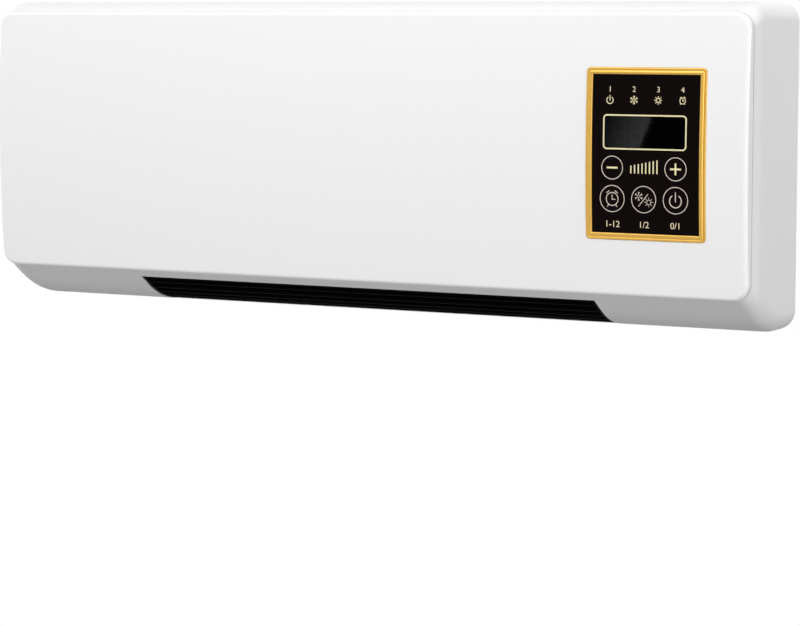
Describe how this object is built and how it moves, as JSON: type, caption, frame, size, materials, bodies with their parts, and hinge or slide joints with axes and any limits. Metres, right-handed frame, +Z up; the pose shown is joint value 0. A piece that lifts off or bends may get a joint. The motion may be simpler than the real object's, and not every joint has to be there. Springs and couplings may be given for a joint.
{
  "type": "wall fan heater",
  "caption": "Slim wall-hung ceramic fan heater: crowned white cover, flared housing, slatted outlet below, gold-framed black control panel with keys, cross-flow fan inside.",
  "frame": {"origin": "midway between the two keyholes' round entries, on the wall plane", "axes": "+X to the right as a viewer facing the heater sees it, +Y into the wall, +Z up"},
  "size_m": [0.528, 0.0733, 0.1921],
  "materials": {
    "white_housing": "fine satin moulding",
    "white_cover": "semi-gloss moulding",
    "black_plastic": "satin black moulding",
    "gold_trim": "gold metallised trim",
    "fascia_black": "gloss black-brown moulding",
    "smoke_window": "smoke tinted window",
    "clear_lens": "frosted light guide",
    "circuit_board": "green glass-fibre laminate",
    "steel": "zinc-plated steel",
    "laminated_steel": "stacked sheet steel",
    "copper_winding": "taped copper winding",
    "bronze": "sintered bronze",
    "aluminium": "bare aluminium",
    "ceramic": "sintered ceramic",
    "rubber": "soft black rubber",
    "ivory_plastic": "heat-resistant moulding",
    "blue_plastic": "moulded case",
    "dark_plastic": "moulded case"
  },
  "bodies": {
    "casing": {"rear_housing": "white_housing", "front_cover": "white_cover", "outlet_grille": "black_plastic", "control_frame": "gold_trim", "control_fascia": "fascia_black", "display_window": "smoke_window", "indicator_lenses": "clear_lens", "control_board": "circuit_board", "control_board_screws": "steel", "key_switches": "dark_plastic", "display_module": "dark_plastic", "indicator_leds": "clear_lens", "infrared_receiver": "dark_plastic", "buzzer": "dark_plastic", "end_bearing": "bronze", "bearing_mount": "rubber", "duct_end_left": "steel", "duct_end_right": "steel", "duct_screws": "steel", "fan_scroll": "steel", "fan_tongue": "steel", "motor_stator": "laminated_steel", "motor_coil": "copper_winding", "motor_bracket_front": "steel", "motor_bracket_rear": "steel", "motor_bearings": "bronze", "motor_spacers": "steel", "motor_screws": "steel", "element_tubes": "aluminium", "ceramic_tiles": "ceramic", "element_fins": "aluminium", "element_holder_left": "ivory_plastic", "element_holder_right": "ivory_plastic", "element_terminals": "steel", "thermal_cutout": "dark_plastic", "thermal_fuse": "ivory_plastic", "power_board": "circuit_board", "power_board_screws": "steel", "relays": "blue_plastic", "filter_capacitor": "blue_plastic", "transformer": "laminated_steel", "terminal_block": "ivory_plastic", "cord_gland": "black_plastic", "cover_screws": "steel"},
    "fan": {"fan_wheel": "dark_plastic", "pivot_pin": "steel", "motor_shaft": "steel", "motor_rotor": "aluminium"},
    "key_minus_cap": {"key_minus": "fascia_black"},
    "key_plus_cap": {"key_plus": "fascia_black"},
    "key_timer_cap": {"key_timer": "fascia_black"},
    "key_mode_cap": {"key_mode": "fascia_black"},
    "key_power_cap": {"key_power": "fascia_black"}
  },
  "joints": [
    {"name": "fan_spin", "type": "hinge", "parent": "casing", "child": "fan", "pos_m": [0, -0.0346, -0.028], "axis": [1, 0, 0], "continuous": true},
    {"name": "key_minus_press", "type": "slide", "parent": "casing", "child": "key_minus_cap", "axis": [0, 1, 0], "range_m": [0, 0.0005], "stiffness_N_per_m": 1500},
    {"name": "key_plus_press", "type": "slide", "parent": "casing", "child": "key_plus_cap", "axis": [0, 1, 0], "range_m": [0, 0.0005], "stiffness_N_per_m": 1500},
    {"name": "key_timer_press", "type": "slide", "parent": "casing", "child": "key_timer_cap", "axis": [0, 1, 0], "range_m": [0, 0.0005], "stiffness_N_per_m": 1500},
    {"name": "key_mode_press", "type": "slide", "parent": "casing", "child": "key_mode_cap", "axis": [0, 1, 0], "range_m": [0, 0.0005], "stiffness_N_per_m": 1500},
    {"name": "key_power_press", "type": "slide", "parent": "casing", "child": "key_power_cap", "axis": [0, 1, 0], "range_m": [0, 0.0005], "stiffness_N_per_m": 1500}
  ]
}
